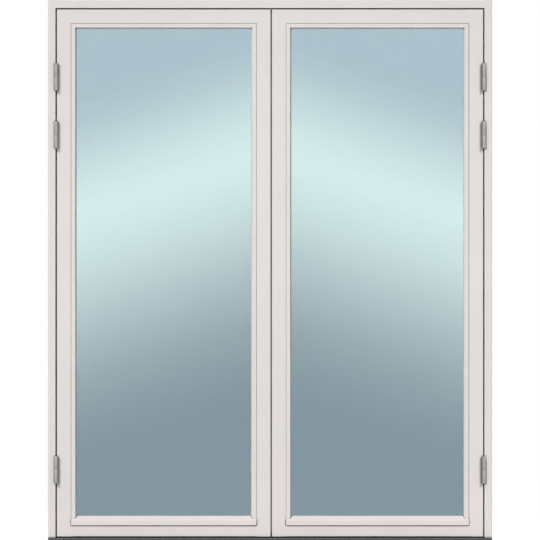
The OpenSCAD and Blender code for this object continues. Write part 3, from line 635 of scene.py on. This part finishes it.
def ribMesh(name):
    half, rise = tread["width"] / 2 * mm, tread["height"] * mm
    sunk, shoulder, crown = -tread["sunk"] * mm, tread["shoulder"] * rise, tread["crown"] * half
    outline = [(-half, sunk), (half, sunk), (half, shoulder), (crown, rise), (-crown, rise),
               (-half, shoulder)]
    bm = bmesh.new()
    skinLoops(bm, [[bm.verts.new((x, y, z)) for y, z in outline]
                   for x in (-tread["reach"] * mm, tread["reach"] * mm)])
    return meshOf(name, bm, True)


ribShape = addObject("ribShape", ribMesh("ribShape"))
ribs = grow("tread_ribs", bpy.data.meshes.new("ribStart"), ribber,
            {"Shape": ribShape, "Pitch": tread["pitch"] * mm, "Count": tread["count"], "Size": 1.0,
             "Finish": thresholdMetal})
ribs.transform(Matrix.Translation((0, tread["start"] * mm, door["sillTop"])))
cover = softMesh("threshold_profile", {"threshold_cover": thresholdMetal}, tread["edge"])
joinMeshes(cover, ribs)
newPiece("threshold_profile", cover, "frame", ["threshold_cover"])
print("threshold made")

# Glass units: spacer bars with two rows of small dark discs towards the gap between the panes; the
# discs stand for holes, their darkness painted shade

unit = {"edge": 0.6, "wall": 7.0, "rows": (0.33, 0.67), "dotPitch": 7.0,
        "dot": ((-0.02, 0.45), (0.04, 0.45), (0.05, 0.3))}
dotShape = addObject("dotShape", ringMesh("dotShape", unit["dot"], sides=8))
for side in ("left", "right"):
    low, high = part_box(f"{side}_spacer_bar")
    wall = unit["wall"] * mm
    x0, x1, z0, z1 = low.x + wall, high.x - wall, low.z + wall, high.z - wall
    lines, edges = [], []
    for row in unit["rows"]:
        y = low.y + row * (high.y - low.y)
        for start, end, facing in (((x0, z0), (x1, z0), (0, 0, 1)),
                                   ((x0, z1), (x1, z1), (0, 0, -1)),
                                   ((x0, z0), (x0, z1), (1, 0, 0)),
                                   ((x1, z0), (x1, z1), (-1, 0, 0))):
            lines += [((start[0], y, start[1]), facing), ((end[0], y, end[1]), facing)]
            edges.append((len(lines) - 2, len(lines) - 1))
    dots = grow(f"{side}_spacer_dots", pointsMesh("dotLines", lines, edges), liner,
                {"Shape": dotShape, "Pitch": unit["dotPitch"] * mm, "Size": 1.0,
                 "Finish": paintedHoleShade})
    spacer = softMesh(f"{side}_spacer_profile", {f"{side}_spacer_bar": spacerMetal}, unit["edge"])
    addDetail(spacer, dots, paintedHoleShade)
    newPiece(f"{side}_spacer_profile", spacer, f"{side}_leaf",
             [f"{side}_spacer_bar"])
print("glass units made")

# Lever handle on its back plate

lever = {"outY": 38.0, "reach": 125.0, "neck": 7.6, "bend": 13.0, "bendSteps": 8, "thick": 7.6,
         "deep": 8.4, "thin": 0.12, "tip": 6.4, "tipLength": 7.5, "tipSteps": 7, "sides": 28,
         "collar": ((1.2, 7.9), (9.0, 7.9), (9.6, 7.4), (13.0, 7.2)),
         "gripShares": (0.15, 0.35, 0.6, 0.85, 1.0), "spindle": 4.0, "spindleEnds": (-34.0, 2.0),
         "plateEdge": 2.2, "plateSteps": 4, "smooth": 40}


def tubeMesh(name, path):
    # path: (centre, direction, half width along X, half width across it)
    side = Vector((1, 0, 0))
    angles = [2 * math.pi * i / lever["sides"] for i in range(lever["sides"])]
    bm = bmesh.new()
    loops = []
    for centre, direction, rise, across in path:
        out = Vector(direction).normalized().cross(side)
        loops.append([bm.verts.new(Vector(centre) + side * (rise * math.sin(a))
                                   + out * (across * math.cos(a))) for a in angles])
    skinLoops(bm, loops)
    return meshOf(name, bm, True)


def leverPath():
    # Out from the plate, then down; a quarter turn swings it up to point at the hinges
    far, z = innerY + lever["outY"] * mm, door["handleZ"]
    bend, neck, thick = lever["bend"] * mm, lever["neck"] * mm, lever["thick"] * mm
    path = [((handleX, innerY + y * mm, z), (0, 1, 0), r * mm, r * mm) for y, r in lever["collar"]]
    path.append(((handleX, far - bend, z), (0, 1, 0), neck, neck))
    for i in range(1, lever["bendSteps"] + 1):
        share = i / lever["bendSteps"]
        a = math.pi / 2 * share
        path.append(((handleX, far - bend + bend * math.sin(a), z - bend * (1 - math.cos(a))),
                     (0, math.cos(a), -math.sin(a)), neck + (lever["deep"] * mm - neck) * share,
                     neck + (thick - neck) * share))
    start, end = z - bend, z - lever["reach"] * mm
    for share in lever["gripShares"]:
        width = lever["deep"] + (lever["tip"] - lever["deep"]) * share
        path.append(((handleX, far, start + (end - start) * share), (0, 0, -1), width * mm,
                     thick * (1 - lever["thin"] * share)))
    for i in range(1, lever["tipSteps"]):  # the rounded tip
        a = math.pi / 2 * i / lever["tipSteps"]
        path.append(((handleX, far, end - lever["tipLength"] * mm * math.sin(a)), (0, 0, -1),
                     lever["tip"] * mm * math.cos(a),
                     thick * (1 - lever["thin"]) * math.cos(a)))
    return path


def square(angle):
    return lever["spindle"] / max(abs(math.cos(angle)), abs(math.sin(angle)))


handleMesh = tubeMesh("lever_handle_bar", leverPath())
handleMesh.materials.append(handleSteel)
spindle = ringMesh("spindle", [(end, square) for end in lever["spindleEnds"]])
spindle.transform(Matrix.Translation((handleX, innerY, door["handleZ"]))
                  @ Matrix.Rotation(-math.pi / 2, 4, "X"))
joinMeshes(handleMesh, spindle)
smoothMesh(handleMesh, lever["smooth"])
newPiece("lever_handle_bar", handleMesh, "handle", ["lever_handle"])
newPiece("handle_back_plate",
         softMesh("handle_back_plate", {"handle_plate": handleSteel}, lever["plateEdge"],
                  lever["plateSteps"], smooth=True),
         "left_leaf", ["handle_plate"])

# Lock furniture: plates with raised countersunk screws, rods and bolts

plates = {"edge": 0.35, "firstZ": 60.0, "screwPitch": 352.0, "screws": 6, "strikeX": (-24, 34),
          "boltW": 20.0, "boltH": 120.0, "boltIn": 9.0, "rodEdge": 0.7}
cap = {"shank": 1.6, "length": 1.0, "head": 3.0, "brow": 2.85, "browRise": 0.22, "crown": 1.7,
       "rise": 0.45, "recess": 1.25, "lobe": 0.16, "narrow": 0.85, "floor": -0.6, "cone": -0.8,
       "point": 0.2}


def capLobes(angle):
    return cap["recess"] * (1 + cap["lobe"] * math.cos(6 * angle))


def capMesh(name):
    return ringMesh(name, [
        (-cap["length"], cap["shank"]), (0.0, cap["head"]), (cap["browRise"], cap["brow"]),
        (cap["rise"], cap["crown"]), (cap["rise"], capLobes),
        (cap["floor"], lambda a: cap["narrow"] * capLobes(a)), (cap["cone"], cap["point"])])


capShape = addObject("capShape", capMesh("capShape"))
slant = math.radians(door["meetingSlope"])  # the meeting edges slant, and their screws with them
edgeWay = Vector((math.cos(slant), math.sin(slant), 0))
sink = edgeWay * cap["rise"] * mm
edgeX = -door["pairX"] + door["leftW"] - door["leafT"] / 2 * math.tan(slant)
faceplateSpots = []
for i in range(plates["screws"]):
    z = door["leafLow"] + (plates["firstZ"] + plates["screwPitch"] * i) * mm
    faceplateSpots.append((Vector((edgeX, midY, z)) - sink, edgeWay))
strikeSpots = [((x * mm, midY, z), (0, 0, way)) for x in plates["strikeX"]
               for z, way in ((door["headLow"], -1), (door["sillTop"], 1))]
low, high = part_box("flush_bolt_plates")
boltX = low.x + plates["boltW"] / 2 * mm * math.tan(slant)
boltSpots = [(Vector((boltX, midY, end + way * inset * mm)) + sink, -edgeWay)
             for end, way in ((low.z, 1), (high.z, -1))
             for inset in (plates["boltIn"], plates["boltH"] - plates["boltIn"])]
for name, node, spots, body in (
        ("faceplate_strip", "lock_faceplate", faceplateSpots, "left_leaf"),
        ("strike_plate_set", "strike_plates", strikeSpots, "frame"),
        ("flush_bolt_plate_set", "flush_bolt_plates", boltSpots, "right_leaf")):
    mesh = softMesh(name, {node: lockSteel}, plates["edge"])
    addDetail(mesh, copiesAt(name + "Screws", spots, capShape, screwZinc), screwZinc)
    newPiece(name, mesh, body, [node])
for name, node, body in (("upper_rod_bar", "upper_rod", "upper_rod"),
                         ("lower_rod_bar", "lower_rod", "lower_rod"),
                         ("top_bolt_bar", "top_flush_bolt", "top_bolt"),
                         ("bottom_bolt_bar", "bottom_flush_bolt", "bottom_bolt")):
    newPiece(name, softMesh(name, {node: lockSteel}, plates["rodEdge"], 3, smooth=True), body,
             [node])
for shape in (screwShape, sleeveShape, ribShape, dotShape, capShape):
    bpy.data.objects.remove(shape)
print("lock furniture made")

# CAD nodes that keep their shape

keptFinish = {"lock_case": lockSteel, "hinge_pins": hingeZinc}
for side in ("left", "right"):
    keptFinish.update({f"{side}_outer_pane": outerGlass, f"{side}_inner_pane": innerGlass,
                       f"{side}_glazing_tape": tapeFoam, f"{side}_setting_blocks": blockPlastic})
for node, material in keptFinish.items():
    nodes[node].data.materials.clear()
    nodes[node].data.materials.append(material)

# Camera

view = {"lens": 665.0, "sensor": 36.0, "distance": 39.99, "height": 1.0974, "clip": (1.0, 200.0)}
cameraData = bpy.data.cameras.new("camera")
cameraData.lens = view["lens"]
cameraData.sensor_width = view["sensor"]
cameraData.clip_start, cameraData.clip_end = view["clip"]
camera = addObject("camera", cameraData)
camera.location = (0, door["faceY"] - view["distance"], view["height"])
camera.rotation_euler = (math.pi / 2, 0, 0)
scene = bpy.context.scene
scene.camera = camera
scene.view_settings.view_transform = "Standard"
scene.view_settings.look = "None"

# Studio: floor, reflection card, sky and lamps

studio = {"ambient": 0.465, "key": 2.27, "keyWay": (-0.73, -1.0, 0.93), "soft": 9.0,
          "back": 1.7, "backWay": (0.6, 1.0, 0.9), "floorFill": 0.36, "floorSeen": 0.78,
          "floorRings": ((-6.0, 4500.0), (-0.05, 4500.0))}


def seenBy(tree):
    # The kinds of ray, and 1 for a ray that the camera sends, also through the glass
    rays = addNode(tree, "ShaderNodeLightPath").outputs
    return rays, addNode(tree, "ShaderNodeMath", {0: rays["Is Camera Ray"],
                                                  1: rays["Is Transmission Ray"]},
                         operation="MAXIMUM")


floorMaterial, tree, place = startMaterial("paleFloor")
rays, seen = seenBy(tree)
fill = addNode(tree, "ShaderNodeMath", {0: rays["Is Diffuse Ray"], 1: studio["floorFill"]},
               operation="MULTIPLY")
glow = addNode(tree, "ShaderNodeMix", {0: seen, 2: fill, 3: studio["floorSeen"]})
endMaterial(tree, {"Base Color": (0.6, 0.6, 0.6, 1.0), "Roughness": 0.9,
                   "Specular IOR Level": 0.1, "Emission Color": (1.0, 1.0, 1.0, 1.0),
                   "Emission Strength": glow})
floorDisc = addObject("floor", ringMesh("floor", studio["floorRings"], sides=96))
floorDisc.data.materials.append(floorMaterial)

# Seen only in reflections: a bright slanting band over a cool sky, dark towards the ground
card = {"y": -3.0, "half": 1.25, "low": -0.2, "high": 2.6, "slope": 0.33, "bandLow": 0.533,
        "bandHigh": 2.133, "gain": 6.6,
        "stops": ((0.0, (0.0, 0.0, 0.0)), (0.12, (0.025, 0.03, 0.028)),
                  (0.28, (0.125, 0.145, 0.138)), (0.45, (0.29, 0.335, 0.31)),
                  (0.62, (0.45, 0.555, 0.505)), (0.72, (0.45, 0.555, 0.505)),
                  (0.86, (0.28, 0.335, 0.33)), (0.97, (0.186, 0.238, 0.263)),
                  (1.0, (0.186, 0.238, 0.263)))}
cardMaterial, tree, place = startMaterial("reflectionCard")
split = addNode(tree, "ShaderNodeSeparateXYZ", {0: place})
aside = addNode(tree, "ShaderNodeMath", {0: split.outputs["X"]}, operation="ABSOLUTE")
ridge = addNode(tree, "ShaderNodeMath", {0: aside, 1: card["slope"], 2: split.outputs["Z"]},
                operation="MULTIPLY_ADD")
share = addNode(tree, "ShaderNodeMapRange", {"Value": ridge, "From Min": card["bandLow"],
                                             "From Max": card["bandHigh"]})
ramp = addNode(tree, "ShaderNodeValToRGB", {"Fac": share})
ramp.color_ramp.interpolation = "B_SPLINE"
while len(ramp.color_ramp.elements) < len(card["stops"]):
    ramp.color_ramp.elements.new(0.5)
for element, (at, colour) in zip(ramp.color_ramp.elements, card["stops"]):
    element.position = at
    element.color = (*colour, 1.0)
light = addNode(tree, "ShaderNodeEmission", {"Color": ramp.outputs["Color"],
                                             "Strength": card["gain"]})
addNode(tree, "ShaderNodeOutputMaterial", {"Surface": light})
cardMesh = bpy.data.meshes.new("reflectionCard")
corners = ((-1, "low"), (1, "low"), (1, "high"), (-1, "high"))
cardMesh.from_pydata([(x * card["half"], card["y"], card[z]) for x, z in corners], [],
                     [(0, 1, 2, 3)])
cardMesh.materials.append(cardMaterial)
cardPlane = addObject("reflectionCard", cardMesh)
cardPlane.visible_camera = cardPlane.visible_diffuse = False
cardPlane.visible_transmission = cardPlane.visible_shadow = False

# A white backdrop for the camera, even light for matt surfaces, and a darker sky in reflections
world = bpy.data.worlds.new("studio")
world.use_nodes = True
scene.world = world
tree = world.node_tree
tree.nodes.clear()
rays, seen = seenBy(tree)
way = addNode(tree, "ShaderNodeTexCoord").outputs["Generated"]
split = addNode(tree, "ShaderNodeSeparateXYZ", {0: way})
aside = addNode(tree, "ShaderNodeMath", {0: split.outputs["X"]}, operation="ABSOLUTE")
dusk = addNode(tree, "ShaderNodeMapRange", {"Value": aside, "From Min": 0.2, "From Max": 0.95,
                                            "To Min": 0.5, "To Max": 0.16})
rise = addNode(tree, "ShaderNodeMapRange", {"Value": split.outputs["Z"], "From Min": -0.2,
                                            "From Max": 0.8, "To Min": 0.6, "To Max": 1.5})
mirror = addNode(tree, "ShaderNodeMath", {0: dusk, 1: rise}, operation="MULTIPLY")
gloss = addNode(tree, "ShaderNodeMix", {0: rays["Is Glossy Ray"], 2: studio["ambient"], 3: mirror})
final = addNode(tree, "ShaderNodeMix", {0: seen, 2: gloss, 3: 1.0})
sky = addNode(tree, "ShaderNodeBackground", {"Color": (1.0, 1.0, 1.0, 1.0), "Strength": final})
addNode(tree, "ShaderNodeOutputWorld", {"Surface": sky})


def addSun(name, way, strength):
    data = bpy.data.lights.new(name, "SUN")
    data.energy = strength
    data.angle = math.radians(studio["soft"])
    lamp = addObject(name, data)
    lamp.rotation_mode = "QUATERNION"
    lamp.rotation_quaternion = Vector(way).to_track_quat("Z", "Y")
    return lamp


def linkLight(lamp, names, state, blockers=()):
    # state: whether the lamp lights only the named objects or all but them; blockers cast no shadow
    for purpose, members, mark in (("receiver", names, state), ("blocker", blockers, "EXCLUDE")):
        if members:
            group = bpy.data.collections.new(lamp.name + purpose)
            for name in members:
                group.objects.link(bpy.data.objects[name])
            for entry in group.collection_objects:
                entry.light_linking.link_state = mark
            setattr(lamp.light_linking, purpose + "_collection", group)


# A mirrored second key lights the right hinges and the leaf beside them: both sides shade alike
rightHinges = ["right_leaf_hinges", "right_frame_hinges"]
mirrored = rightHinges + ["right_leaf_timber"]
x, y, z = studio["keyWay"]
linkLight(addSun("keySun", (x, y, z), studio["key"]), mirrored + ["floor"], "EXCLUDE", rightHinges)
linkLight(addSun("sideSun", (-x, y, z), studio["key"]), mirrored, "INCLUDE")
linkLight(addSun("backSun", studio["backWay"], studio["back"]), ["floor"], "EXCLUDE")
print("studio made")
